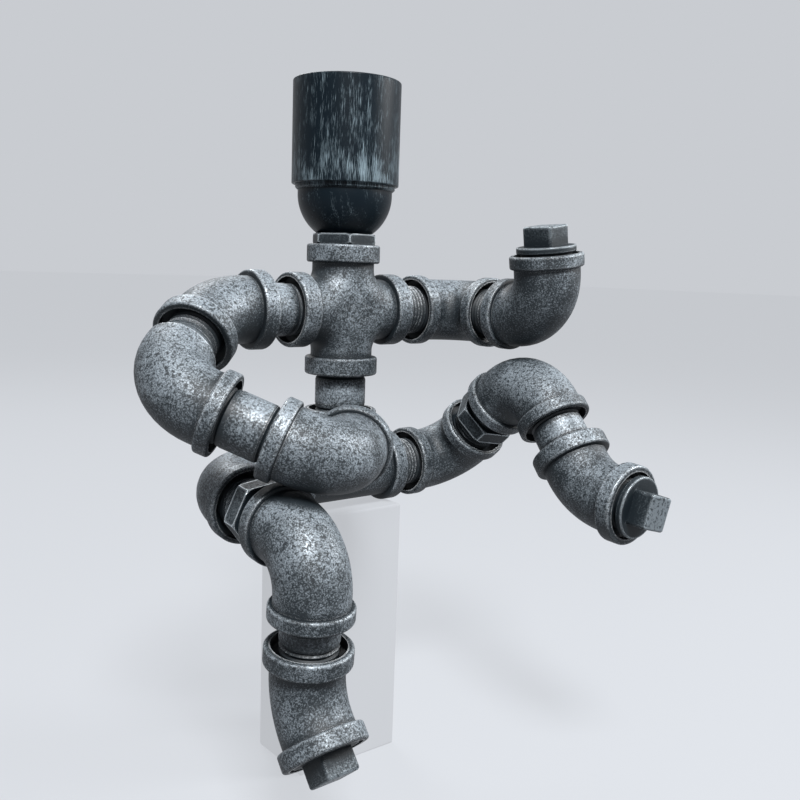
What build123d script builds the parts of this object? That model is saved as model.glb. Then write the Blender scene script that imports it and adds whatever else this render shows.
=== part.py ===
from build123d import *
import os
from math import radians, sqrt, tan

# A table lamp built as a seated figure out of malleable iron pipe fittings.
# Millimetres. +Z is up, the figure faces -Y and its left side is +X.
# The origin is on the seat plane, under the middle of the pelvis tee.

# Pipe and thread
PIPE_RADIUS = 10.65           # half-inch pipe
THREAD_RADIUS = 10.48         # crest of the male thread
THREAD_PITCH = 1.814
THREAD_GROOVE = 0.65          # depth between two crests
THREAD_FLAT = 0.35            # width of a crest
THREAD_TURNED_OFF = 1.0       # the groove's outline stands this far outside the crests
THREAD_RUNOUT = 2.3           # the cut thread ends this far outside a fitting's face
THREAD_SEEN_INSIDE = 4.4      # crests are cut this far inside a fitting's face
THREAD_SEEN_OUTSIDE = 1.9     # and this far outside it on a nipple with a plain middle
THREAD_CLEARANCE = 0.05       # between male crest and female bore
PIPE_BORE = 8.0               # radius inside a nipple

# Female outlets, the same on every fitting
THREAD_DEPTH = 11.0           # from the face to the end of the straight bore
WATERWAY_RADIUS = 10.2        # passage behind the thread
MOUTH_RADIUS = 13.35          # recess round the thread at the face
MOUTH_DEPTH = 3.5
MOUTH_LEAD = 1.4              # cone from the recess down to the thread
BAND_EDGE = 1.0               # rounding of a band's edges
BAND_STRAIGHT = 2.5           # straight body beside a band
BAND_EDGE_SHARE = 0.4         # the rounding's largest share of a band's width

# Ninety degree elbows
ELBOW_CENTRE = 26.0           # centre to face
ELBOW_BAND_RADIUS = 15.25
ELBOW_BAND_WIDTH = 5.5
ELBOW_BODY_RADIUS = 13.6

# Forty-five degree elbows
BEND45_CENTRE = 20.5
BEND45_BAND_RADIUS = 15.75
BEND45_BAND_WIDTH = 6.5
BEND45_BODY_RADIUS = 13.3

# Street elbow: a male neck on one end
STREET_MALE_LENGTH = 38.0     # centre to the end of the male thread
STREET_STRAIGHT = 1.0         # body between the taper and the bend
STREET_TAPER = 5.0            # cone from the thread up to the body
STREET_BAND_RADIUS = 15.5
STREET_BORE = 8.2

# Cross and tee
CROSS_CENTRE = 27.0
CROSS_BAND_RADIUS = 15.25
CROSS_BAND_WIDTH = 7.5
CROSS_BODY_RADIUS = 12.9
TEE_CENTRE = 27.0
TEE_BAND_RADIUS = 15.5
TEE_BAND_WIDTH = 6.5
TEE_BODY_RADIUS = 13.1
CROTCH_RADIUS = 4.0           # between two neighbouring branches

# Nipples: how far they stand between two faces
NIPPLE_GRIP = 10.5            # length inside each fitting
WAIST_GAP = 14.8
RIGHT_SHOULDER_GAP = 11.9
RIGHT_FOREARM_GAP = 17.2
RIGHT_HIP_GAP = 5.5
RIGHT_SHIN_GAP = 9.6
LEFT_SHOULDER_GAP = 10.0
LEFT_FOREARM_GAP = 7.2
LEFT_HIP_GAP = 9.2
LEFT_SHIN_GAP = 11.3
HEX_NIPPLE_LENGTH = 37.5
HEX_NIPPLE_WIDTH = 7.0        # the hexagon, along the pipe
HEX_NIPPLE_FLATS = 24.0       # across flats
RIGHT_THIGH_GAP = 19.4
LEFT_THIGH_GAP = 15.9
STREET_GRIP = 9.5             # male neck inside the shoulder elbow

# Square-head plugs
PLUG_GRIP = 9.0
PLUG_COLLAR_RADIUS = 12.2
PLUG_COLLAR_START = 0.6       # above the fitting's face
PLUG_DEEP_START = -2.9        # the same on a plug whose collar sits in the mouth
PLUG_COLLAR_HEIGHT = 2.7
PLUG_COLLAR_EDGE = 0.5
PLUG_HEAD_SIDE = 13.5
PLUG_HEAD_HEIGHT = 8.2
PLUG_HEAD_EDGE = 1.1

# Turns of the threaded joints, in degrees. Each is measured about the pipe
# from the plane of the last bend, and at a tee or cross outlet from upright.
RIGHT_SHOULDER_TURN = -135.6
RIGHT_ELBOW_TURN = 10.6
RIGHT_WRIST_TURN = -25.0
LEFT_SHOULDER_TURN = 90.0
LEFT_WRIST_TURN = -82.0
RIGHT_HIP_TURN = -95.2
RIGHT_KNEE_TURN = -89.5
RIGHT_ANKLE_TURN = 178.9
LEFT_HIP_TURN = 48.7
LEFT_KNEE_TURN = 87.2
LEFT_ANKLE_TURN = 173.6

# Where the flats stand, in degrees about their own axis
RIGHT_THIGH_FLATS = 8.0
LEFT_THIGH_FLATS = 48.0
NECK_FLATS = 5.0
LEFT_HAND_FLATS = 9.0
RIGHT_FOOT_FLATS = 87.0
LEFT_FOOT_FLATS = 81.0

# Neck bushing, hollow rod and its nut
BUSHING_FLATS = 24.0
BUSHING_HEIGHT = 4.3
HEX_CHAMFER = 0.8
HEX_CHAMFER_SHARE = 0.3       # the chamfer's largest share of a hexagon's height
ROD_RADIUS = 5.0              # M10 hollow rod
ROD_BORE = 3.7
ROD_CLEARANCE = 0.05
ROD_BELOW = 8.0               # into the cross, under its top face
ROD_ABOVE_NUT = 1.0
NUT_FLATS = 14.0
NUT_HEIGHT = 3.0

# Lampholder. Heights are measured up from the cap's base.
CAP_RADIUS = 19.5
CAP_BASE_RADIUS = 11.3
CAP_WALL = 2.2
CAP_HEIGHT = 25.0             # the top of it is inside the skirt
CORE_LEDGE = 1.6              # width of the ledge that carries the core
CORE_LEDGE_DROP = 4.0         # ledge below the cap's top
SKIRT_RADIUS = 22.1
SKIRT_WALL = 2.2
SKIRT_START = 19.7
SKIRT_LENGTH = 41.4
SKIRT_LIP_RADIUS = 20.6
SKIRT_LIP_HEIGHT = 2.0
SKIRT_EDGE = 0.6
SKIRT_LIP_CHAMFER = 0.7
SKIRT_FIT = 0.1               # between the cap and the skirt's lower bore
CORE_FIT = 0.15
CORE_BASE_HEIGHT = 9.0
SHELL_BORE = 13.3             # E27 screw shell, inside radius
SHELL_WALL = 0.5
SHELL_LENGTH = 20.0
SHELL_FIT = 0.05
SHELL_FLANGE = 3.6            # inward flange at the shell's foot
SLEEVE_WALL = 2.0
SLEEVE_SHORT = 4.0            # sleeve ends this far below the shell's rim
POCKET_FLOOR = 2.0            # pocket floor below the top of the core's base
SHOULDER_HEIGHT = 2.0         # ring in the skirt that holds the core down
CONTACT_WIDTH = 6.0
CONTACT_THICKNESS = 0.6
CONTACT_REACH = 6.5           # from the centre to the riveted foot
CONTACT_WELL_RADIUS = 9.0     # well in the insert, under the shell's foot
CONTACT_WELL_DEPTH = 4.5
RIVET_RADIUS = 1.2
TERMINAL_SIDE = 5.0
TERMINAL_HEIGHT = 7.0
TERMINAL_OFFSET = 8.0
SCREW_RADIUS = 1.5
SCREW_HEAD_RADIUS = 2.5
SCREW_HEAD = 1.6
SCREW_SLOT = 0.8
SCREW_CLEARANCE = 0.05

# Mains lead inside the body, and the outlet at the back of the pelvis
CORD_RADIUS = 3.0
CORD_BEND = 9.0
CORD_SPLIT = 0.8              # where the two cores part, above the rod
LEAD_RADIUS = 1.1
LEAD_SPACING = 1.3
LEAD_STRAIGHT = 2.4           # straight ends of each core
LEAD_BEND = 1.8
OUTLET_BOSS_RADIUS = 7.2
OUTLET_BOSS_REACH = 13.8      # seat of the grommet, from the tee's axis
GROMMET_NECK = 4.5
GROMMET_FIT = 0.05
GROMMET_FLANGE = 6.4
GROMMET_FLANGE_HEIGHT = 1.6
GROMMET_EDGE = 0.6
GROMMET_BORE = 3.2
GROMMET_START = 9.6           # inner end, from the tee's axis
CORD_END_GAP = 0.3            # cord's end to the grommet

BORE_RADIUS = THREAD_RADIUS + THREAD_CLEARANCE
UP = (Align.CENTER, Align.CENTER, Align.MIN)

parts = {}
joint_frames = {}


def rod(radius, height):
    return Cylinder(radius, height, align=UP)


def hex_bar(flats, height):
    return extrude(RegularPolygon(flats / 2, 6, major_radius=False), height)


def ring_band(radius, width):
    edges = min(BAND_EDGE, BAND_EDGE_SHARE * width)
    band = rod(radius, width)
    return fillet(band.edges().filter_by(GeomType.CIRCLE), edges)


def outlet_cut():
    """Recess, lead-in and thread bore, from a face at the origin along +Z."""
    lead = Pos(0, 0, MOUTH_DEPTH) * Cone(MOUTH_RADIUS, BORE_RADIUS, MOUTH_LEAD, align=UP)
    return rod(MOUTH_RADIUS, MOUTH_DEPTH) + lead + rod(BORE_RADIUS, THREAD_DEPTH)


def bent_line(start, inlet, angle, outlet, bend):
    """Centre line up +Z to the corner at height inlet, then out by outlet."""
    way = Location((0, 0, inlet), (0, angle, 0))
    end = (way * Pos(0, 0, outlet)).position
    return FilletPolyline((0, 0, start), (0, 0, inlet), end, radius=bend)


def bent_rod(radius, start, inlet, angle, outlet, straight):
    bend = (outlet - straight) / tan(radians(angle / 2))
    profile = Pos(0, 0, start) * Circle(radius)
    return sweep(profile, path=bent_line(start, inlet, angle, outlet, bend))


def through(frame, inlet, angle, outlet):
    """The frame at a bend's outlet face, pointing out of it."""
    return frame * Pos(0, 0, inlet) * Rot(0, angle, 0) * Pos(0, 0, outlet)


def elbow(centre, angle, band_radius, band_width, body_radius):
    """Inlet face at the origin, opening down -Z; the bend turns towards +X."""
    outlet = through(Pos(0, 0, 0), centre, angle, centre) * Rot(0, 180, 0)
    body = bent_rod(body_radius, 0, centre, angle, centre, band_width + BAND_STRAIGHT)
    band = ring_band(band_radius, band_width)
    body = body + band + outlet * band
    body -= bent_rod(WATERWAY_RADIUS, 0, centre, angle, centre, THREAD_DEPTH)
    return body - outlet_cut() - outlet * outlet_cut()


def elbow_90():
    return elbow(ELBOW_CENTRE, 90, ELBOW_BAND_RADIUS, ELBOW_BAND_WIDTH, ELBOW_BODY_RADIUS)


def elbow_45():
    return elbow(BEND45_CENTRE, 45, BEND45_BAND_RADIUS, BEND45_BAND_WIDTH, BEND45_BODY_RADIUS)


def street_elbow():
    """Male thread from the origin up; the female outlet turns towards +X."""
    outlet = through(Pos(0, 0, 0), STREET_MALE_LENGTH, 90, ELBOW_CENTRE) * Rot(0, 180, 0)
    straight = ELBOW_BAND_WIDTH + BAND_STRAIGHT
    neck_top = STREET_MALE_LENGTH - (ELBOW_CENTRE - straight) - STREET_STRAIGHT
    thread = neck_top - STREET_TAPER
    male = threaded_rod(thread, [(STREET_GRIP - THREAD_SEEN_INSIDE, thread)])
    cone = Pos(0, 0, thread) * Cone(
        THREAD_RADIUS, ELBOW_BODY_RADIUS, STREET_TAPER, align=UP)
    bend = bent_rod(ELBOW_BODY_RADIUS, neck_top, STREET_MALE_LENGTH, 90, ELBOW_CENTRE, straight)
    body = male + cone + bend + outlet * ring_band(STREET_BAND_RADIUS, ELBOW_BAND_WIDTH)
    body -= bent_rod(STREET_BORE, 0, STREET_MALE_LENGTH, 90, ELBOW_CENTRE, THREAD_DEPTH)
    return body - outlet * outlet_cut()


def groove_cutter(height):
    """One V-shaped ring between two thread crests, centred at a height."""
    half = (THREAD_PITCH - THREAD_FLAT) / 2
    wide = half * (1 + THREAD_TURNED_OFF / THREAD_GROOVE)
    outline = Polyline(
        (THREAD_RADIUS + THREAD_TURNED_OFF, height - wide),
        (THREAD_RADIUS - THREAD_GROOVE, height),
        (THREAD_RADIUS + THREAD_TURNED_OFF, height + wide),
        close=True,
    )
    return revolve(Plane.XZ * make_face(outline), Axis.Z)


def threaded_rod(length, stretches):
    """A male thread, with its crests cut along each (start, end) stretch of it."""
    solid = rod(THREAD_RADIUS, length)
    for start, end in stretches:
        for number in range(round((end - start) / THREAD_PITCH)):
            height = start + (number + 0.5) * THREAD_PITCH
            if THREAD_PITCH / 2 < height < length - THREAD_PITCH / 2:
                solid -= groove_cutter(height)
    return solid


def nipple(gap, outside=THREAD_SEEN_OUTSIDE):
    """A cut pipe threaded at both ends, from its lower end at the origin."""
    length = gap + 2 * NIPPLE_GRIP
    inner = NIPPLE_GRIP - THREAD_SEEN_INSIDE
    outer = NIPPLE_GRIP + outside
    solid = threaded_rod(length, [(inner, outer), (length - outer, length - inner)])
    plain = length - 2 * (NIPPLE_GRIP + THREAD_RUNOUT)
    if plain > 0 and outside < gap / 2:
        solid += Pos(0, 0, NIPPLE_GRIP + THREAD_RUNOUT) * rod(PIPE_RADIUS, plain)
    return solid - rod(PIPE_BORE, length)


def close_nipple(gap):
    """A nipple that is threaded from end to end."""
    return nipple(gap, gap / 2)


def chamfered_hex(flats, height):
    """A hexagon whose corners are turned off on both faces."""
    corner = flats / sqrt(3)
    turned = rod(corner, height)
    turned_off = min(HEX_CHAMFER, HEX_CHAMFER_SHARE * height)
    turned = chamfer(turned.edges().filter_by(GeomType.CIRCLE), turned_off)
    return hex_bar(flats, height) & turned


def hex_nipple(gap):
    middle = (HEX_NIPPLE_LENGTH - HEX_NIPPLE_WIDTH) / 2
    inner = (HEX_NIPPLE_LENGTH - gap) / 2 - THREAD_SEEN_INSIDE
    solid = threaded_rod(HEX_NIPPLE_LENGTH, [
        (inner, middle), (HEX_NIPPLE_LENGTH - middle, HEX_NIPPLE_LENGTH - inner)])
    solid += Pos(0, 0, middle) * chamfered_hex(HEX_NIPPLE_FLATS, HEX_NIPPLE_WIDTH)
    return solid - rod(PIPE_BORE, HEX_NIPPLE_LENGTH)


def plug(collar_start):
    """A square-head plug: its fitting's face is at the origin, +Z points out."""
    head_start = collar_start + PLUG_COLLAR_HEIGHT
    stem = Pos(0, 0, -PLUG_GRIP) * threaded_rod(
        PLUG_GRIP + collar_start, [(PLUG_GRIP - THREAD_SEEN_INSIDE, PLUG_GRIP)])
    collar = Pos(0, 0, collar_start) * fillet(
        rod(PLUG_COLLAR_RADIUS, PLUG_COLLAR_HEIGHT).edges().filter_by(GeomType.CIRCLE),
        PLUG_COLLAR_EDGE)
    head = Pos(0, 0, head_start) * Box(
        PLUG_HEAD_SIDE, PLUG_HEAD_SIDE, PLUG_HEAD_HEIGHT, align=UP)
    head = fillet(head.edges().filter_by(Axis.Z) + head.faces().sort_by(Axis.Z)[-1].edges(),
                  PLUG_HEAD_EDGE)
    return stem + collar + head


def outlet_frames(centre, directions, reach):
    """Frames on a fitting's faces, pointing out, with X upright where it can be."""
    frames = []
    for way in directions:
        upright = (0, 0, 1) if way[2] == 0 else (1, 0, 0)
        plane = Plane(origin=centre, x_dir=upright, z_dir=way)
        frames.append(plane.location * Pos(0, 0, reach))
    return frames


def crotch(centre, first, second, reach, radius):
    """A pipe bent from one branch into the next; its inside rounds the crotch."""
    start, end = [tuple(c + reach * d for c, d in zip(centre, way)) for way in (first, second)]
    line = FilletPolyline(start, centre, end, radius=radius + CROTCH_RADIUS)
    inward = tuple(-d for d in first)
    return sweep(Plane(origin=start, z_dir=inward) * Circle(radius), path=line)


def branched(centre, directions, reach, band_radius, band_width, body_radius, crotches):
    """A tee or cross, with one outlet for each direction, and one rounded
    crotch for each pair of neighbouring directions."""
    arms = outlet_frames(centre, directions, 0)
    faces = outlet_frames(centre, directions, reach)
    body = arms[0] * rod(body_radius, reach)
    for arm in arms[1:]:
        body += arm * rod(body_radius, reach)
    for first, second in crotches:
        body += crotch(centre, first, second, reach, body_radius)
    for face in faces:
        body += face * Rot(0, 180, 0) * ring_band(band_radius, band_width)
    for arm in arms:
        body -= arm * rod(WATERWAY_RADIUS, reach)
    for face in faces:
        body -= face * Rot(0, 180, 0) * outlet_cut()
    return body


def add(name, shape):
    parts[name] = shape


def add_plug(name, face, flats=0, collar_start=PLUG_COLLAR_START):
    add(name, face * Rot(0, 0, flats) * plug(collar_start))


# ---------------------------------------------------------------- trunk

PELVIS_Z = TEE_BAND_RADIUS
WAIST_Z = PELVIS_Z + TEE_CENTRE + WAIST_GAP
CHEST_Z = WAIST_Z + CROSS_CENTRE
NECK_Z = CHEST_Z + CROSS_CENTRE
LEFT = (1, 0, 0)
RIGHT = (-1, 0, 0)
SKY = (0, 0, 1)
DOWN = (0, 0, -1)


def pelvis_tee():
    centre = (0, 0, PELVIS_Z)
    body = branched(centre, [RIGHT, LEFT, SKY], TEE_CENTRE,
                    TEE_BAND_RADIUS, TEE_BAND_WIDTH, TEE_BODY_RADIUS,
                    [(RIGHT, SKY), (SKY, LEFT)])
    back = Plane(origin=centre, x_dir=LEFT, z_dir=(0, 1, 0)).location
    body += back * rod(OUTLET_BOSS_RADIUS, OUTLET_BOSS_REACH)
    body -= Pos(*centre) * Rot(0, 90, 0) * Cylinder(WATERWAY_RADIUS, 2 * TEE_CENTRE)
    return body - back * rod(GROMMET_NECK + GROMMET_FIT, OUTLET_BOSS_REACH)


def torso_cross():
    return branched((0, 0, CHEST_Z), [RIGHT, LEFT, SKY, DOWN], CROSS_CENTRE,
                    CROSS_BAND_RADIUS, CROSS_BAND_WIDTH, CROSS_BODY_RADIUS,
                    [(RIGHT, SKY), (SKY, LEFT), (LEFT, DOWN), (DOWN, RIGHT)])


def cord_grommet():
    """Rubber grommet, seated on the boss at the back of the pelvis."""
    neck = OUTLET_BOSS_REACH - GROMMET_START
    solid = rod(GROMMET_NECK, neck)
    flange = rod(GROMMET_FLANGE, GROMMET_FLANGE_HEIGHT)
    flange = fillet(flange.edges().group_by(Axis.Z)[-1], GROMMET_EDGE)
    solid += Pos(0, 0, neck) * flange
    solid -= rod(GROMMET_BORE, neck + GROMMET_FLANGE_HEIGHT)
    back = Plane(origin=(0, GROMMET_START, PELVIS_Z), x_dir=LEFT, z_dir=(0, 1, 0))
    return back.location * solid


# ---------------------------------------------------------------- lampholder

CAP_Z = NECK_Z + BUSHING_HEIGHT
NUT_Z = CAP_Z + CAP_WALL
CAP_TOP_Z = CAP_Z + CAP_HEIGHT
CORE_Z = CAP_TOP_Z - CORE_LEDGE_DROP
CORE_TOP_Z = CORE_Z + CORE_BASE_HEIGHT
POCKET_Z = CORE_TOP_Z - POCKET_FLOOR
WELL_Z = POCKET_Z - CONTACT_WELL_DEPTH
SKIRT_Z = CAP_Z + SKIRT_START
CAP_INNER = CAP_RADIUS - CAP_WALL
SHELL_OUTER = SHELL_BORE + SHELL_WALL
SLEEVE_RADIUS = SHELL_OUTER + SHELL_FIT + SLEEVE_WALL


def neck_bushing():
    """Hexagonal reducer screwed into the cross, tapped for the hollow rod."""
    stem = Pos(0, 0, -NIPPLE_GRIP) * threaded_rod(
        NIPPLE_GRIP, [(NIPPLE_GRIP - THREAD_SEEN_INSIDE, NIPPLE_GRIP)])
    solid = stem + Rot(0, 0, NECK_FLATS) * chamfered_hex(BUSHING_FLATS, BUSHING_HEIGHT)
    solid -= Pos(0, 0, -NIPPLE_GRIP) * rod(ROD_RADIUS + ROD_CLEARANCE, NIPPLE_GRIP + BUSHING_HEIGHT)
    return Pos(0, 0, NECK_Z) * solid


def hollow_rod():
    start = NECK_Z - ROD_BELOW
    length = NUT_Z + NUT_HEIGHT + ROD_ABOVE_NUT - start
    return Pos(0, 0, start) * (rod(ROD_RADIUS, length) - rod(ROD_BORE, length))


def rod_lock_nut():
    solid = chamfered_hex(NUT_FLATS, NUT_HEIGHT) - rod(ROD_RADIUS + ROD_CLEARANCE, NUT_HEIGHT)
    return Pos(0, 0, NUT_Z) * solid


def bowl(radius, base_radius, height):
    """A ball with its foot cut flat and straight walls above its middle."""
    middle = sqrt(radius ** 2 - base_radius ** 2)
    ball = Pos(0, 0, middle) * Sphere(radius)
    ball &= rod(radius, 2 * radius)
    return (ball & rod(2 * radius, middle)) + Pos(0, 0, middle) * rod(radius, height - middle)


def lampholder_cap():
    """Domed base of the lampholder. Its inner ledge carries the core."""
    middle = sqrt(CAP_RADIUS ** 2 - CAP_BASE_RADIUS ** 2)
    outer = bowl(CAP_RADIUS, CAP_BASE_RADIUS, CAP_HEIGHT)
    ledge = CAP_HEIGHT - CORE_LEDGE_DROP
    inner = Pos(0, 0, middle) * Sphere(CAP_INNER - CORE_LEDGE)
    inner &= Pos(0, 0, CAP_WALL) * rod(CAP_RADIUS, middle - CAP_WALL)
    inner += Pos(0, 0, middle) * rod(CAP_INNER - CORE_LEDGE, ledge - middle)
    inner += Pos(0, 0, ledge) * rod(CAP_INNER, CORE_LEDGE_DROP)
    inner += rod(ROD_RADIUS + ROD_CLEARANCE, CAP_WALL)
    return Pos(0, 0, CAP_Z) * (outer - inner)


def lampholder_skirt():
    """Outer sleeve, open at the top for the bulb. It screws over the cap, and
    its inner ring holds the core down."""
    inner = SKIRT_RADIUS - SKIRT_WALL
    solid = rod(SKIRT_RADIUS, SKIRT_LENGTH)
    solid = fillet(solid.edges().filter_by(GeomType.CIRCLE), SKIRT_EDGE)
    lip = Pos(0, 0, -SKIRT_LIP_HEIGHT) * rod(SKIRT_LIP_RADIUS, SKIRT_LIP_HEIGHT)
    solid += chamfer(lip.edges().group_by(Axis.Z)[0], SKIRT_LIP_CHAMFER)
    solid -= Pos(0, 0, -SKIRT_LIP_HEIGHT) * rod(
        CAP_RADIUS + SKIRT_FIT, CAP_TOP_Z + SKIRT_FIT - SKIRT_Z + SKIRT_LIP_HEIGHT)
    shoulder = CORE_TOP_Z + SKIRT_FIT - SKIRT_Z
    solid -= rod(CAP_INNER + CORE_FIT, shoulder)
    solid -= rod(SLEEVE_RADIUS + CORE_FIT, SKIRT_LENGTH)
    above = shoulder + SHOULDER_HEIGHT
    solid -= Pos(0, 0, above) * rod(inner, SKIRT_LENGTH - above)
    return Pos(0, 0, SKIRT_Z) * solid


def lampholder_core():
    """Moulded insert: base, sleeve round the screw shell, well for the contact."""
    base_radius = CAP_INNER - CORE_FIT
    sleeve_top = POCKET_Z + SHELL_LENGTH - SLEEVE_SHORT
    solid = Pos(0, 0, CORE_Z) * rod(base_radius, CORE_BASE_HEIGHT)
    solid += Pos(0, 0, CORE_TOP_Z) * rod(SLEEVE_RADIUS, sleeve_top - CORE_TOP_Z)
    solid -= Pos(0, 0, POCKET_Z) * rod(SHELL_OUTER + SHELL_FIT, SHELL_LENGTH)
    solid -= Pos(0, 0, WELL_Z) * rod(CONTACT_WELL_RADIUS, CONTACT_WELL_DEPTH)
    return solid - Pos(-CONTACT_REACH, 0, CORE_Z) * rod(
        RIVET_RADIUS + SCREW_CLEARANCE, CORE_BASE_HEIGHT)


def screw_shell():
    """E27 shell, from its flanged foot on the pocket floor to its open rim."""
    solid = rod(SHELL_OUTER, SHELL_LENGTH)
    solid -= Pos(0, 0, SHELL_WALL) * rod(SHELL_BORE, SHELL_LENGTH)
    solid -= rod(SHELL_BORE - SHELL_FLANGE, SHELL_WALL)
    return Pos(0, 0, POCKET_Z) * solid


def centre_contact():
    """Spring tongue for the bulb's tip, with the rivet that carries it."""
    foot = -CONTACT_REACH - RIVET_RADIUS
    tip = CONTACT_WIDTH / 2
    strip = Polyline(
        (foot, 0), (foot, CONTACT_THICKNESS),
        (-CONTACT_REACH + RIVET_RADIUS, CONTACT_THICKNESS),
        (-tip / 2, CONTACT_WELL_DEPTH), (tip, CONTACT_WELL_DEPTH),
        (tip, CONTACT_WELL_DEPTH - CONTACT_THICKNESS),
        (-tip / 2 + CONTACT_THICKNESS / 2, CONTACT_WELL_DEPTH - CONTACT_THICKNESS),
        (-CONTACT_REACH + RIVET_RADIUS + CONTACT_THICKNESS / 2, 0),
        close=True,
    )
    tongue = extrude(Plane.XZ * make_face(strip), CONTACT_WIDTH / 2, both=True)
    depth = WELL_Z - CORE_Z
    rivet = Pos(-CONTACT_REACH, 0, -depth) * rod(RIVET_RADIUS, depth)
    return Pos(0, 0, WELL_Z) * (tongue + rivet)


def terminal_blocks():
    """Two brass blocks on the underside of the core, bored for their screws."""
    blocks = []
    for side in (-1, 1):
        block = Pos(side * TERMINAL_OFFSET, 0, CORE_Z - TERMINAL_HEIGHT) * Box(
            TERMINAL_SIDE, TERMINAL_SIDE, TERMINAL_HEIGHT, align=UP)
        hole = Pos(side * TERMINAL_OFFSET, 0, CORE_Z - TERMINAL_HEIGHT / 2) * Rot(0, 90, 0) * Cylinder(
            SCREW_RADIUS + SCREW_CLEARANCE, 2 * TERMINAL_SIDE)
        blocks.append(block - hole)
    return Compound(children=blocks)


def terminal_screws():
    screws = []
    for side in (-1, 1):
        face = Pos(side * (TERMINAL_OFFSET + TERMINAL_SIDE / 2), 0, CORE_Z - TERMINAL_HEIGHT / 2)
        outward = Rot(0, 90 * side, 0)
        shank = Pos(0, 0, -TERMINAL_SIDE) * rod(SCREW_RADIUS, TERMINAL_SIDE)
        head = rod(SCREW_HEAD_RADIUS, SCREW_HEAD)
        slot = Pos(0, 0, SCREW_HEAD) * Box(
            2 * SCREW_HEAD_RADIUS, SCREW_SLOT, SCREW_HEAD)
        screws.append(face * outward * (shank + head - slot))
    return Compound(children=screws)


# ---------------------------------------------------------------- leads

CORD_SPLIT_Z = NUT_Z + NUT_HEIGHT + ROD_ABOVE_NUT + CORD_SPLIT


def supply_cord_lower():
    """From just inside the grommet, round the bend and up to the waist."""
    start = (0, GROMMET_START - CORD_END_GAP, PELVIS_Z)
    line = FilletPolyline(start, (0, 0, PELVIS_Z), (0, 0, WAIST_Z), radius=CORD_BEND)
    section = Plane(origin=start, z_dir=(0, -1, 0)) * Circle(CORD_RADIUS)
    return sweep(section, path=line)


def supply_cord_upper():
    return Pos(0, 0, WAIST_Z) * rod(CORD_RADIUS, CORD_SPLIT_Z - WAIST_Z)


def terminal_leads():
    leads = []
    top = CORE_Z - TERMINAL_HEIGHT
    for side in (-1, 1):
        start = (side * LEAD_SPACING, 0, CORD_SPLIT_Z)
        line = FilletPolyline(
            start,
            (side * LEAD_SPACING, 0, CORD_SPLIT_Z + LEAD_STRAIGHT),
            (side * TERMINAL_OFFSET, 0, top - LEAD_STRAIGHT),
            (side * TERMINAL_OFFSET, 0, top),
            radius=LEAD_BEND,
        )
        leads.append(sweep(Pos(*start) * Circle(LEAD_RADIUS), path=line))
    return Compound(children=leads)


# ---------------------------------------------------------------- limbs

def place_nipple(name, face, gap, piece=nipple, grip=NIPPLE_GRIP):
    """Seat a nipple in the face it leaves, and give the next fitting's face."""
    add(name, face * Pos(0, 0, -grip) * piece(gap))
    return face * Pos(0, 0, gap)


def place_hex_nipple(name, face, gap, flats):
    grip = (HEX_NIPPLE_LENGTH - gap) / 2
    place_nipple(name, face * Rot(0, 0, flats), gap, hex_nipple, grip)
    return face * Pos(0, 0, gap)


def place_elbow(name, joint, face, turn, angle=90):
    """Turn an elbow on its inlet thread, and give its outlet face."""
    joint_frames[joint] = face
    turned = face * Rot(0, 0, turn)
    if angle == 90:
        add(name, turned * elbow_90())
        return through(turned, ELBOW_CENTRE, angle, ELBOW_CENTRE)
    add(name, turned * elbow_45())
    return through(turned, BEND45_CENTRE, angle, BEND45_CENTRE)


def right_arm(face):
    face = place_nipple("right_shoulder_nipple", face, RIGHT_SHOULDER_GAP)
    face = place_elbow("right_upper_elbow", "right_shoulder", face, RIGHT_SHOULDER_TURN, 45)
    joint_frames["right_elbow"] = face
    turned = face * Pos(0, 0, -STREET_GRIP) * Rot(0, 0, RIGHT_ELBOW_TURN)
    add("right_street_elbow", turned * street_elbow())
    face = through(turned, STREET_MALE_LENGTH, 90, ELBOW_CENTRE)
    face = place_nipple("right_forearm_nipple", face, RIGHT_FOREARM_GAP)
    face = place_elbow("right_hand_elbow", "right_wrist", face, RIGHT_WRIST_TURN)
    add_plug("right_hand_plug", face)


def left_arm(face):
    face = place_nipple("left_shoulder_nipple", face, LEFT_SHOULDER_GAP, close_nipple)
    face = place_elbow("left_upper_elbow", "left_shoulder", face, LEFT_SHOULDER_TURN)
    face = place_nipple("left_forearm_nipple", face, LEFT_FOREARM_GAP, close_nipple)
    face = place_elbow("left_hand_elbow", "left_wrist", face, LEFT_WRIST_TURN)
    add_plug("left_hand_plug", face, LEFT_HAND_FLATS)


def leg(side, face, hip_nipple, gaps, turns, flats, collar_start):
    hip_gap, thigh_gap, shin_gap = gaps
    hip_turn, knee_turn, ankle_turn = turns
    thigh_flats, foot_flats = flats
    face = place_nipple(side + "_hip_nipple", face, hip_gap, hip_nipple)
    face = place_elbow(side + "_hip_elbow", side + "_hip", face, hip_turn)
    face = place_hex_nipple(side + "_thigh_hex_nipple", face, thigh_gap, thigh_flats)
    face = place_elbow(side + "_knee_elbow", side + "_knee", face, knee_turn)
    face = place_nipple(side + "_shin_nipple", face, shin_gap)
    face = place_elbow(side + "_foot_elbow", side + "_ankle", face, ankle_turn, 45)
    add_plug(side + "_foot_plug", face, foot_flats, collar_start)


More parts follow.
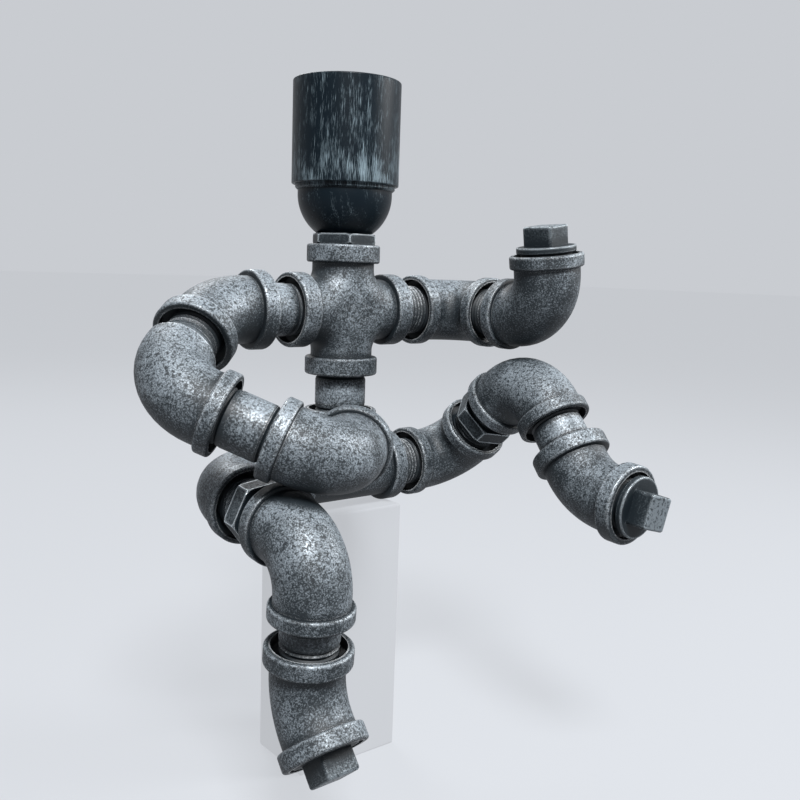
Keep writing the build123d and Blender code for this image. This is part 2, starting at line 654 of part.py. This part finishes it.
def build():
    add("pelvis_tee", pelvis_tee())
    add("cord_grommet", cord_grommet())
    add("waist_nipple", Pos(0, 0, PELVIS_Z + TEE_CENTRE - NIPPLE_GRIP) * nipple(WAIST_GAP))
    add("torso_cross", torso_cross())
    add("neck_bushing", neck_bushing())
    add("hollow_rod", hollow_rod())
    add("rod_lock_nut", rod_lock_nut())
    add("lampholder_cap", lampholder_cap())
    add("lampholder_skirt", lampholder_skirt())
    add("lampholder_core", lampholder_core())
    add("screw_shell", screw_shell())
    add("centre_contact", centre_contact())
    add("terminal_blocks", terminal_blocks())
    add("terminal_screws", terminal_screws())
    add("supply_cord_lower", supply_cord_lower())
    add("supply_cord_upper", supply_cord_upper())
    add("terminal_leads", terminal_leads())
    joint_frames["waist"] = Pos(0, 0, WAIST_Z)

    right_outlet, left_outlet = outlet_frames((0, 0, CHEST_Z), [RIGHT, LEFT], CROSS_CENTRE)
    right_arm(right_outlet)
    left_arm(left_outlet)
    right_outlet, left_outlet = outlet_frames((0, 0, PELVIS_Z), [RIGHT, LEFT], TEE_CENTRE)
    leg("right", right_outlet, nipple,
        (RIGHT_HIP_GAP, RIGHT_THIGH_GAP, RIGHT_SHIN_GAP),
        (RIGHT_HIP_TURN, RIGHT_KNEE_TURN, RIGHT_ANKLE_TURN),
        (RIGHT_THIGH_FLATS, RIGHT_FOOT_FLATS), PLUG_DEEP_START)
    leg("left", left_outlet, close_nipple,
        (LEFT_HIP_GAP, LEFT_THIGH_GAP, LEFT_SHIN_GAP),
        (LEFT_HIP_TURN, LEFT_KNEE_TURN, LEFT_ANKLE_TURN),
        (LEFT_THIGH_FLATS, LEFT_FOOT_FLATS), PLUG_COLLAR_START)


def write():
    os.makedirs("parts", exist_ok=True)
    for name, shape in parts.items():
        export_step(shape, os.path.join("parts", name + ".step"))
        print(name, round(shape.volume, 1))
    for name, frame in joint_frames.items():
        plane = Plane(frame)
        spot = [round(value, 4) for value in plane.origin]
        axis = [round(value, 6) for value in plane.z_dir]
        print("joint", name, spot, axis)


build()
write()
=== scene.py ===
import math

import bpy
from mathutils import Matrix, Vector


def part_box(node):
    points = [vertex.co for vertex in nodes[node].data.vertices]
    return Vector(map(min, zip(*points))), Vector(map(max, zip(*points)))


# The frame: every fitting, nipple and plug of the pipe figure, in metres
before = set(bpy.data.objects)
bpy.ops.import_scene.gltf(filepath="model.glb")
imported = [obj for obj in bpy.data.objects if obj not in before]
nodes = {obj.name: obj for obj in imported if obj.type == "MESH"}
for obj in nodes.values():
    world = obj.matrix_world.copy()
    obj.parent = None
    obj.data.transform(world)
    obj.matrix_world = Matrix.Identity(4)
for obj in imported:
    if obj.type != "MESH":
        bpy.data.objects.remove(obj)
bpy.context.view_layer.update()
print("frame loaded:", len(nodes), "nodes")

mm = 0.001


def deselectAll():
    if bpy.context.object and bpy.context.object.mode != "OBJECT":
        bpy.ops.object.mode_set(mode="OBJECT")
    bpy.ops.object.select_all(action="DESELECT")


def hexToLinear(code):
    # sRGB hex value to the linear colour that a shader works in
    values = [int(code[i:i + 2], 16) / 255 for i in (1, 3, 5)]
    linear = [v / 12.92 if v <= 0.04045 else ((v + 0.055) / 1.055) ** 2.4 for v in values]
    return (*linear, 1.0)


def addNode(tree, kind, settings=None, inputs=None):
    node = tree.nodes.new(kind)
    for name, value in (settings or {}).items():
        setattr(node, name, value)
    for name, value in (inputs or {}).items():
        if isinstance(value, bpy.types.NodeSocket):
            tree.links.new(value, node.inputs[name])
        else:
            node.inputs[name].default_value = value
    return node


def newMaterial(name):
    material = bpy.data.materials.new(name)
    material.use_nodes = True
    tree = material.node_tree
    tree.nodes.clear()
    return material, tree


def finishMaterial(tree, surface):
    addNode(tree, "ShaderNodeOutputMaterial", inputs={"Surface": surface.outputs[0]})


def paint(nodeNames, material):
    for nodeName in nodeNames:
        piece = nodes[nodeName]
        piece.data.materials.clear()
        piece.data.materials.append(material)


# An edge shows where a normal rounded over a radius turns away from the true one.
# The turn is given as a cosine.
edges = {
    "samples": 6,
    "starts": 0.985,
    "full": 0.90,
}


def edgeMask(tree, radius):
    rounded = addNode(tree, "ShaderNodeBevel", {"samples": edges["samples"]}, {"Radius": radius})
    truth = addNode(tree, "ShaderNodeNewGeometry")
    agree = addNode(tree, "ShaderNodeVectorMath", {"operation": "DOT_PRODUCT"}, {
        0: rounded.outputs["Normal"], 1: truth.outputs["Normal"]}).outputs["Value"]
    return addNode(tree, "ShaderNodeMapRange", inputs={
        "Value": agree, "From Min": edges["starts"], "From Max": edges["full"]}).outputs["Result"]


# Malleable cast iron, primed black and dry-brushed with silver paint. The sand-cast
# skin is grainy and pitted: the brush greys the grains and leaves pits and recesses black.
# Painted shade darkens the recesses and undersides further, and painted highlight lightens the edges.
# Coverage, and what edges and recesses add to it, share the scale of the noises' sum,
# which lies about 0.75 with the blotches' share.
castIron = {
    "primer": "#030f16",       # black primer, faintly blue where it is thick
    "silver": "#a8b3bc",       # aluminium paint, cool
    "wornEdgeAndHighlight": "#eef2f5",     # rubbed almost to bare metal, and painted highlight
    "grit": 0.55 * mm,         # size of the sand's grains
    "gritDepth": 0.035 * mm,
    "pit": 1.15 * mm,          # pits that the sand left
    "pitDepth": 0.07 * mm,
    "pitShare": 0.435,         # the pits' noise below this is a pit
    "pitFloor": 0.05,          # silver that is left in a pit
    "blotch": 14.0 * mm,       # where the brush was wetter or drier
    "blotchShare": 0.5,
    "lumpDepth": 0.35 * mm,    # the blotches' own unevenness, as cast
    "bare": 1.25,              # the sum that leaves half the silver at no coverage
    "coverage": 0.420,         # more is more silver
    "fade": 0.21,              # either side of that sum, from no silver to full silver
    "underside": -0.17,        # painted shade: less silver, so darker, on faces that point down
    "recess": 8.0 * mm,        # how near another surface keeps the brush out and lays painted shade
    "recessPrimerAndShade": -0.60,
    "edgeRadius": 1.5 * mm,
    "edgeWearAndHighlight": 0.34,
    "silverRoughness": 0.34,
    "primerRoughness": 0.62,
    "metalShare": 0.45,        # flakes in the paint against its binder
    "gloss": 0.50,
}

# Drawn steel pipe under the same paint: a smoother skin, so more silver stays on it
drawnPipe = dict(
    castIron, grit=0.8 * mm, gritDepth=0.025 * mm, pitDepth=0.05 * mm, pitShare=0.36,
    lumpDepth=0.08 * mm, coverage=0.51, edgeWearAndHighlight=0.06, metalShare=0.25)

# Forged plugs and hexagons, touched less by the silver brush: dark gunmetal
forgedIron = dict(
    castIron, silver="#6f787e", wornEdgeAndHighlight="#c3ccd2", gritDepth=0.04 * mm, pitDepth=0.08 * mm,
    lumpDepth=0.10 * mm, edgeWearAndHighlight=0.50, gloss=0.35)

# Where the brush reaches, and where painted shade falls in hollows and under a piece: 1 is in the open,
# 0 is shut in on all sides. Up is a normal's Z.
brushAndShade = {
    "samples": 8,
    "edgeShut": 0.5,
    "edgeOpen": 0.85,
    "recessShut": 0.38,
    "recessOpen": 0.95,
    "facesDown": -0.9,
    "facesUp": 0.5,
    "pitClosed": 0.05,         # either side of the pits' share
    "pitOpen": 0.04,
    "edgeFillsPits": 0.10,
    "endStarts": 0.8 * mm,     # a plug's end face, below its highest point
    "endFull": 0.1 * mm,
    "endShare": 0.7,           # of an edge's rubbed silver and painted highlight
}


def antiquedMetal(name, look, endAxis=None, endHeight=0.0):
    material, tree = newMaterial(name)
    texture = addNode(tree, "ShaderNodeTexCoord")
    place = texture.outputs["Object"]
    grit = addNode(tree, "ShaderNodeTexNoise", inputs={
        "Vector": place, "Scale": 1 / look["grit"], "Detail": 4.0, "Roughness": 0.65}).outputs[0]
    pit = addNode(tree, "ShaderNodeTexNoise", inputs={
        "Vector": place, "Scale": 1 / look["pit"], "Detail": 3.0, "Roughness": 0.6}).outputs[0]
    blotch = addNode(tree, "ShaderNodeTexNoise", inputs={
        "Vector": place, "Scale": 1 / look["blotch"], "Detail": 3.0, "Roughness": 0.55}).outputs[0]
    openness = addNode(tree, "ShaderNodeAmbientOcclusion", {"samples": brushAndShade["samples"]}, {
        "Distance": look["recess"]}).outputs["AO"]
    reached = addNode(tree, "ShaderNodeMapRange", inputs={
        "Value": openness, "From Min": brushAndShade["edgeShut"],
        "From Max": brushAndShade["edgeOpen"]}).outputs["Result"]
    # Edges: worn paint, and a painted highlight where the rounded normal turns, kept out of hollows
    wearAndHighlight = addNode(tree, "ShaderNodeMath", {"operation": "MULTIPLY"}, {
        0: edgeMask(tree, look["edgeRadius"]), 1: reached}).outputs[0]

    # Silver paint: the grains, shifted by the blotches, worn edges with painted highlight, hollows with
    # painted shade and downward faces with painted shade, less the pits
    lifted = addNode(tree, "ShaderNodeMath", {"operation": "MULTIPLY_ADD"}, {
        0: blotch, 1: look["blotchShare"], 2: grit}).outputs[0]
    wearAndShadeHeight = addNode(tree, "ShaderNodeMath", {"operation": "MULTIPLY_ADD"}, {
        0: wearAndHighlight, 1: look["edgeWearAndHighlight"], 2: lifted}).outputs[0]
    # Painted shade under a piece: faces that point down get less silver, so they turn darker
    upward = addNode(tree, "ShaderNodeSeparateXYZ", inputs={
        "Vector": texture.outputs["Normal"]}).outputs["Z"]
    below = addNode(tree, "ShaderNodeMapRange", inputs={
        "Value": upward, "From Min": brushAndShade["facesDown"], "From Max": brushAndShade["facesUp"],
        "To Min": look["underside"], "To Max": 0.0}).outputs["Result"]
    wearAndShadeHeight = addNode(tree, "ShaderNodeMath", {"operation": "ADD"}, {0: wearAndShadeHeight, 1: below}).outputs[0]
    if endAxis:
        along = addNode(tree, "ShaderNodeVectorMath", {"operation": "DOT_PRODUCT"}, {
            0: place, 1: endAxis}).outputs["Value"]
        onEnd = addNode(tree, "ShaderNodeMapRange", inputs={
            "Value": along, "From Min": endHeight - brushAndShade["endStarts"],
            "From Max": endHeight - brushAndShade["endFull"]}).outputs["Result"]
        wearAndShadeHeight = addNode(tree, "ShaderNodeMath", {"operation": "MULTIPLY_ADD"}, {
            0: onEnd, 1: look["edgeWearAndHighlight"] * brushAndShade["endShare"], 2: wearAndShadeHeight}).outputs[0]
    # Unbrushed primer in hollows, and painted shade: less silver where other surfaces close in
    recessPrimerAndShade = addNode(tree, "ShaderNodeMapRange", inputs={
        "Value": openness, "From Min": brushAndShade["recessShut"], "From Max": brushAndShade["recessOpen"],
        "To Min": look["recessPrimerAndShade"], "To Max": 0.0}).outputs["Result"]
    height = addNode(tree, "ShaderNodeMath", {"operation": "ADD"}, {0: wearAndShadeHeight, 1: recessPrimerAndShade}).outputs[0]
    threshold = look["bare"] - look["coverage"]
    brushed = addNode(tree, "ShaderNodeMapRange", inputs={
        "Value": height, "From Min": threshold - look["fade"],
        "From Max": threshold + look["fade"]}).outputs["Result"]
    pitEdge = addNode(tree, "ShaderNodeMath", {"operation": "MULTIPLY_ADD"}, {
        0: wearAndHighlight, 1: brushAndShade["edgeFillsPits"], 2: pit}).outputs[0]
    unpitted = addNode(tree, "ShaderNodeMapRange", inputs={
        "Value": pitEdge, "From Min": look["pitShare"] - brushAndShade["pitClosed"],
        "From Max": look["pitShare"] + brushAndShade["pitOpen"],
        "To Min": look["pitFloor"], "To Max": 1.0}).outputs["Result"]
    silver = addNode(tree, "ShaderNodeMath", {"operation": "MULTIPLY"}, {
        0: brushed, 1: unpitted}).outputs[0]

    # The silver turns near white at the edges: rubbed metal and painted highlight
    painted = addNode(tree, "ShaderNodeMix", {"data_type": "RGBA"}, {
        "Factor": wearAndHighlight, 6: hexToLinear(look["silver"]), 7: hexToLinear(look["wornEdgeAndHighlight"])}).outputs[2]
    colour = addNode(tree, "ShaderNodeMix", {"data_type": "RGBA"}, {
        "Factor": silver, 6: hexToLinear(look["primer"]), 7: painted}).outputs[2]
    metallic = addNode(tree, "ShaderNodeMath", {"operation": "MULTIPLY"}, {
        0: silver, 1: look["metalShare"]}).outputs[0]
    roughness = addNode(tree, "ShaderNodeMapRange", inputs={
        "Value": silver, "To Min": look["primerRoughness"],
        "To Max": look["silverRoughness"]}).outputs["Result"]

    lumps = addNode(tree, "ShaderNodeBump", inputs={
        "Height": blotch, "Distance": look["lumpDepth"], "Strength": 1.0})
    pits = addNode(tree, "ShaderNodeBump", inputs={
        "Height": pit, "Distance": look["pitDepth"], "Strength": 1.0, "Normal": lumps.outputs[0]})
    grains = addNode(tree, "ShaderNodeBump", inputs={
        "Height": grit, "Distance": look["gritDepth"], "Strength": 1.0, "Normal": pits.outputs[0]})
    surface = addNode(tree, "ShaderNodeBsdfPrincipled", inputs={
        "Base Color": colour, "Metallic": metallic, "Roughness": roughness,
        "Specular IOR Level": look["gloss"], "Normal": grains.outputs[0]})
    finishMaterial(tree, surface)
    return material


def headAxis(plugName, elbowName):
    # The way that a plug's head points: most of its outward area faces that way
    middles = [sum((Vector(corner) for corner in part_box(name)), Vector()) / 2
               for name in (plugName, elbowName)]
    areas = {}
    for face in nodes[plugName].data.polygons:
        if face.normal.dot(middles[0] - middles[1]) > 0:
            facing = tuple(round(value, 2) for value in face.normal)
            areas[facing] = areas.get(facing, 0) + face.area
    return Vector(max(areas, key=areas.get)).normalized()


castFittings = ["pelvis_tee", "torso_cross"] + [name for name in nodes if name.endswith("_elbow")]
hexPieces = ["neck_bushing"] + [name for name in nodes if name.endswith("_hex_nipple")]
plugs = [name for name in nodes if name.endswith("_plug")]
pipes = [name for name in nodes if name.endswith("_nipple") and name not in hexPieces]
paint(castFittings, antiquedMetal("castIronAntiquedSilver", castIron))
paint(pipes, antiquedMetal("drawnPipeAntiquedSilver", drawnPipe))
paint(hexPieces, antiquedMetal("forgedIronGunmetal", forgedIron))
for plugName in plugs:
    axis = headAxis(plugName, plugName.replace("_plug", "_elbow"))
    end = max(vertex.co.dot(axis) for vertex in nodes[plugName].data.vertices)
    paint([plugName], antiquedMetal("forgedIron_" + plugName, forgedIron, tuple(axis), end))
print("fittings painted:", len(castFittings) + len(pipes) + len(hexPieces) + len(plugs))

# Sheet-steel lampholder in satin black enamel, dry-brushed with silver from top to bottom
lampholder = {
    "enamel": "#020e16",
    "silver": "#7d8e97",
    "roughness": 0.40,
    "metalShare": 0.2,
    "gloss": 0.16,
    "strokeWidth": 0.20 * mm,
    "strokeLength": 4.0 * mm,
    "streakWidth": 2.2 * mm,   # bands where the brush pressed or missed
    "streakLength": 30.0 * mm,
    "streakShare": 0.5,
    "patch": 9.0 * mm,
    "patchShare": 0.3,
    "edgeRadius": 0.5 * mm,
    "edgeWearAndHighlight": 0.10,
    "bare": 1.40,              # the noises' sum where the silver starts at no coverage
    "skirtCoverage": 0.37,
    "capCoverage": 0.31,
    "starts": 0.05,            # below that sum
    "full": 0.22,              # above it
    "skirtDense": 1 / 3,       # part of the sleeve's height below which more silver stays
    "denseGain": 0.10,
    "denseFade": 4 * mm,
    "capSlant": math.radians(14),
    "relief": 0.03 * mm,
}


def drawnOutNoise(tree, place, width, length):
    drawnOut = addNode(tree, "ShaderNodeMapping", inputs={
        "Vector": place, "Scale": (1 / width, 1 / width, 1 / length)}).outputs[0]
    return addNode(tree, "ShaderNodeTexNoise", inputs={
        "Vector": drawnOut, "Scale": 1.0, "Detail": 3.0, "Roughness": 0.6}).outputs[0]


def brushedEnamel(name, look, coverage, slant=0.0, denseBelow=None):
    material, tree = newMaterial(name)
    place = addNode(tree, "ShaderNodeTexCoord").outputs["Object"]
    turned = addNode(tree, "ShaderNodeMapping", inputs={
        "Vector": place, "Rotation": (0, slant, 0)}).outputs[0]
    stroke = drawnOutNoise(tree, turned, look["strokeWidth"], look["strokeLength"])
    streak = drawnOutNoise(tree, turned, look["streakWidth"], look["streakLength"])
    patch = addNode(tree, "ShaderNodeTexNoise", inputs={
        "Vector": place, "Scale": 1 / look["patch"], "Detail": 2.0}).outputs[0]
    streaked = addNode(tree, "ShaderNodeMath", {"operation": "MULTIPLY_ADD"}, {
        0: streak, 1: look["streakShare"], 2: stroke}).outputs[0]
    lifted = addNode(tree, "ShaderNodeMath", {"operation": "MULTIPLY_ADD"}, {
        0: patch, 1: look["patchShare"], 2: streaked}).outputs[0]
    # Edges: worn silver, and a painted highlight along them
    height = addNode(tree, "ShaderNodeMath", {"operation": "MULTIPLY_ADD"}, {
        0: edgeMask(tree, look["edgeRadius"]), 1: look["edgeWearAndHighlight"], 2: lifted}).outputs[0]
    if denseBelow is not None:
        upward = addNode(tree, "ShaderNodeSeparateXYZ", inputs={"Vector": place}).outputs["Z"]
        dense = addNode(tree, "ShaderNodeMapRange", inputs={
            "Value": upward, "From Min": denseBelow + look["denseFade"],
            "From Max": denseBelow - look["denseFade"]}).outputs["Result"]
        height = addNode(tree, "ShaderNodeMath", {"operation": "MULTIPLY_ADD"}, {
            0: dense, 1: look["denseGain"], 2: height}).outputs[0]
    threshold = look["bare"] - coverage
    silver = addNode(tree, "ShaderNodeMapRange", inputs={
        "Value": height, "From Min": threshold - look["starts"],
        "From Max": threshold + look["full"]}).outputs["Result"]
    colour = addNode(tree, "ShaderNodeMix", {"data_type": "RGBA"}, {
        "Factor": silver, 6: hexToLinear(look["enamel"]), 7: hexToLinear(look["silver"])}).outputs[2]
    metallic = addNode(tree, "ShaderNodeMath", {"operation": "MULTIPLY"}, {
        0: silver, 1: look["metalShare"]}).outputs[0]
    relief = addNode(tree, "ShaderNodeBump", inputs={
        "Height": stroke, "Distance": look["relief"], "Strength": 1.0})
    surface = addNode(tree, "ShaderNodeBsdfPrincipled", inputs={
        "Base Color": colour, "Metallic": metallic, "Roughness": look["roughness"],
        "Specular IOR Level": look["gloss"], "Normal": relief.outputs[0]})
    finishMaterial(tree, surface)
    return material


skirtFoot, skirtRim = [corner[2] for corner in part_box("lampholder_skirt")]
paint(["lampholder_skirt"], brushedEnamel(
    "blackEnamelBrushed", lampholder, lampholder["skirtCoverage"],
    denseBelow=skirtFoot + (skirtRim - skirtFoot) * lampholder["skirtDense"]))
paint(["lampholder_cap"], brushedEnamel(
    "blackEnamelSparse", lampholder, lampholder["capCoverage"], slant=lampholder["capSlant"]))
print("lampholder painted")

# What is inside: one colour each, with a fine moulded, plated or drawn grain
urea = {                       # urea moulding, off-white and slightly waxy
    "colour": "#d9d4c6", "metallic": 0.0, "roughness": 0.38, "grain": 1.5 * mm, "depth": 0.02 * mm}
brass = {                      # drawn brass for what carries the current, pale and clean
    "colour": "#d6c392", "metallic": 1.0, "roughness": 0.32, "grain": 0.5 * mm, "depth": 0.01 * mm}
zincPlate = {                  # zinc-plated steel screws, rod and nut, cool and satin
    "colour": "#b9bec2", "metallic": 1.0, "roughness": 0.34, "grain": 0.6 * mm, "depth": 0.01 * mm}
rubber = {                     # the bush, black and dull
    "colour": "#17181a", "metallic": 0.0, "roughness": 0.62, "grain": 0.4 * mm, "depth": 0.02 * mm}
sheath = {                     # PVC on the mains lead, black with a slight shine
    "colour": "#1a1b1d", "metallic": 0.0, "roughness": 0.48, "grain": 0.8 * mm, "depth": 0.02 * mm}


def plainMaterial(name, look):
    material, tree = newMaterial(name)
    place = addNode(tree, "ShaderNodeTexCoord").outputs["Object"]
    grain = addNode(tree, "ShaderNodeTexNoise", inputs={
        "Vector": place, "Scale": 1 / look["grain"], "Detail": 2.0}).outputs[0]
    relief = addNode(tree, "ShaderNodeBump", inputs={
        "Height": grain, "Distance": look["depth"], "Strength": 1.0})
    surface = addNode(tree, "ShaderNodeBsdfPrincipled", inputs={
        "Base Color": hexToLinear(look["colour"]), "Metallic": look["metallic"],
        "Roughness": look["roughness"], "Normal": relief.outputs[0]})
    finishMaterial(tree, surface)
    return material


paint(["lampholder_core"], plainMaterial("ureaMoulding", urea))
paint(["screw_shell", "centre_contact", "terminal_blocks"], plainMaterial("drawnBrass", brass))
paint(["terminal_screws", "hollow_rod", "rod_lock_nut"], plainMaterial("zincPlatedSteel", zincPlate))
paint(["cord_grommet"], plainMaterial("blackRubber", rubber))
paint(["supply_cord_lower", "supply_cord_upper", "terminal_leads"],
      plainMaterial("blackLeadSheath", sheath))
print("inside pieces painted")

# A plain pale floor, and a plain block under the seat that leaves room for the legs
stageSizes = {
    "floorDrop": 112 * mm,     # below the seat, clear of a leg at any pose
    "floorSize": 30.0,
    "floorGlow": 0.96,
    "seatWidth": 50 * mm,
    "seatFront": -13 * mm,
    "seatBack": 21 * mm,
    "seatEdge": 1.0 * mm,
    "seatEdgeSteps": 3,
    "seatGlow": 0.85,
    "matte": "#55575a",        # what its own light and shadow fall on
    "seen": "#c9ccd1",         # how bright it looks far from the lamps
}


def seenRays(tree):
    # 1 for what the camera sees directly, in a reflection or through glass
    light = addNode(tree, "ShaderNodeLightPath")
    total = light.outputs["Is Camera Ray"]
    for kind in ("Is Glossy Ray", "Is Transmission Ray"):
        total = addNode(tree, "ShaderNodeMath", {"operation": "MAXIMUM"}, {
            0: total, 1: light.outputs[kind]}).outputs[0]
    return total


def paleMaterial(name, glow):
    material, tree = newMaterial(name)
    matte = addNode(tree, "ShaderNodeBsdfDiffuse", inputs={"Color": hexToLinear(stageSizes["matte"])})
    strength = addNode(tree, "ShaderNodeMath", {"operation": "MULTIPLY"}, {
        0: seenRays(tree), 1: glow}).outputs[0]
    shine = addNode(tree, "ShaderNodeEmission", inputs={
        "Color": hexToLinear(stageSizes["seen"]), "Strength": strength})
    both = addNode(tree, "ShaderNodeAddShader", inputs={0: matte.outputs[0], 1: shine.outputs[0]})
    finishMaterial(tree, both)
    return material


deselectAll()
bpy.ops.mesh.primitive_plane_add(size=stageSizes["floorSize"], location=(0, 0, -stageSizes["floorDrop"]))
floor = bpy.context.object
floor.name = "floor"
floor.data.materials.append(paleMaterial("paleFloor", stageSizes["floorGlow"]))

deselectAll()
bpy.ops.mesh.primitive_cube_add(size=1.0, location=(
    0, (stageSizes["seatFront"] + stageSizes["seatBack"]) / 2, -stageSizes["floorDrop"] / 2))
seatBlock = bpy.context.object
seatBlock.name = "seatBlock"
seatBlock.scale = (
    stageSizes["seatWidth"], stageSizes["seatBack"] - stageSizes["seatFront"], stageSizes["floorDrop"])
bpy.ops.object.transform_apply(location=True, rotation=True, scale=True)
bpy.ops.object.mode_set(mode="EDIT")
bpy.ops.mesh.select_all(action="SELECT")
bpy.ops.mesh.bevel(offset=stageSizes["seatEdge"], segments=stageSizes["seatEdgeSteps"])
bpy.ops.object.mode_set(mode="OBJECT")
seatBlock.data.materials.append(paleMaterial("paleBlock", stageSizes["seatGlow"]))
print("stage set")

# Soft daylight from the upper left, weaker lamps from the right and from behind, and a pale room
studio = {
    "roomLight": 0.05,
    "roomColour": "#d8e6f6",
    "roomSeen": "#c9ccd1",
    "keyPower": 27.5,
    "keySize": 0.28,
    "keyFrom": (-0.38, -0.72, 0.96),
    "fillPower": 10.0,
    "fillSize": 0.3,
    "fillFrom": (0.80, -0.50, 0.55),
    "backPower": 9.0,
    "backSize": 0.5,
    "backFrom": (0.15, 0.90, 1.00),
    "aim": (0.0, -0.03, 0.05),
}


def softLamp(kind):
    deselectAll()
    place = studio[kind + "From"]
    bpy.ops.object.light_add(type="AREA", location=place)
    lamp = bpy.context.object
    lamp.name = kind + "Lamp"
    lamp.data.size = studio[kind + "Size"]
    lamp.data.energy = studio[kind + "Power"]
    aim = Vector(studio["aim"]) - Vector(place)
    lamp.rotation_euler = aim.to_track_quat("-Z", "Y").to_euler()


for kind in ("key", "fill", "back"):
    softLamp(kind)

world = bpy.data.worlds.new("paleRoom")
bpy.context.scene.world = world
world.use_nodes = True
worldTree = world.node_tree
worldTree.nodes.clear()
lit = addNode(worldTree, "ShaderNodeBackground", inputs={
    "Color": hexToLinear(studio["roomColour"]), "Strength": studio["roomLight"]})
seen = addNode(worldTree, "ShaderNodeBackground", inputs={
    "Color": hexToLinear(studio["roomSeen"]), "Strength": 1.0})
roomMix = addNode(worldTree, "ShaderNodeMixShader", inputs={
    0: seenRays(worldTree), 1: lit.outputs[0], 2: seen.outputs[0]})
addNode(worldTree, "ShaderNodeOutputWorld", inputs={"Surface": roomMix.outputs[0]})

# Camera, a little above the seat and in front of the figure's right side
view = {
    "place": (-0.22735, -0.32250, 0.10151),
    "yaw": math.radians(-38.91),
    "pitch": math.radians(-7.93),
    "roll": math.radians(1.91),
    "focal": 41.9,             # mm, for the sensor's width
    "sensor": 36.0,
    "nearest": 0.01,
}
deselectAll()
bpy.ops.object.camera_add(location=view["place"])
camera = bpy.context.object
turn = Matrix.Rotation(view["yaw"], 3, "Z") @ Matrix.Rotation(
    math.pi / 2 + view["pitch"], 3, "X") @ Matrix.Rotation(view["roll"], 3, "Z")
camera.rotation_euler = turn.to_euler()
camera.data.sensor_width = view["sensor"]
camera.data.lens = view["focal"]
camera.data.clip_start = view["nearest"]
bpy.context.scene.camera = camera
bpy.context.scene.view_settings.view_transform = "Standard"
print("camera and lamps placed")
